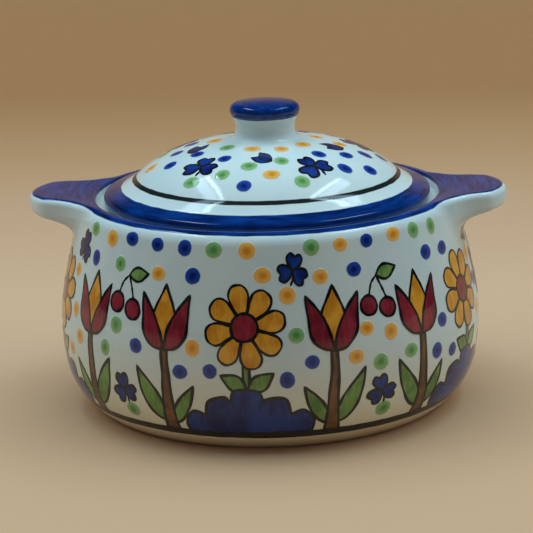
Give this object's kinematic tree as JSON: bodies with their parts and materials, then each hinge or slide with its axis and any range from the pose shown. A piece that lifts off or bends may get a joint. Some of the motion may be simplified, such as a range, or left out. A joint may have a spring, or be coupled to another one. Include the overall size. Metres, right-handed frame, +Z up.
{
  "type": "casserole dish",
  "caption": "Round-bellied glazed casserole pot with a solid lug handle at each side and a domed, loose lid with a button knob that sits on a ledge inside the rim.",
  "frame": {"origin": "middle of the foot, on the surface that the dish stands on", "axes": "+X from one handle to the other, +Z up along the axis of the pot and the lid, -Y towards the front"},
  "size_m": [0.272, 0.24, 0.1718],
  "materials": {
    "pot_glaze": "glossy white glaze with painted decoration",
    "handle_glaze": "glossy glaze, blue on top and white at the sides",
    "lid_glaze": "glossy white glaze with painted decoration and a blue edge",
    "knob_glaze": "glossy blue glaze over a white neck"
  },
  "bodies": {
    "pot": {"pot_bowl": "pot_glaze", "left_handle": "handle_glaze", "right_handle": "handle_glaze"},
    "lid": {"lid_dome": "lid_glaze", "lid_knob": "knob_glaze"}
  },
  "joints": [
    {"name": "lid_lift", "type": "slide", "parent": "pot", "child": "lid", "axis": [0, 0, 1], "range_m": [0, 0.08]}
  ]
}
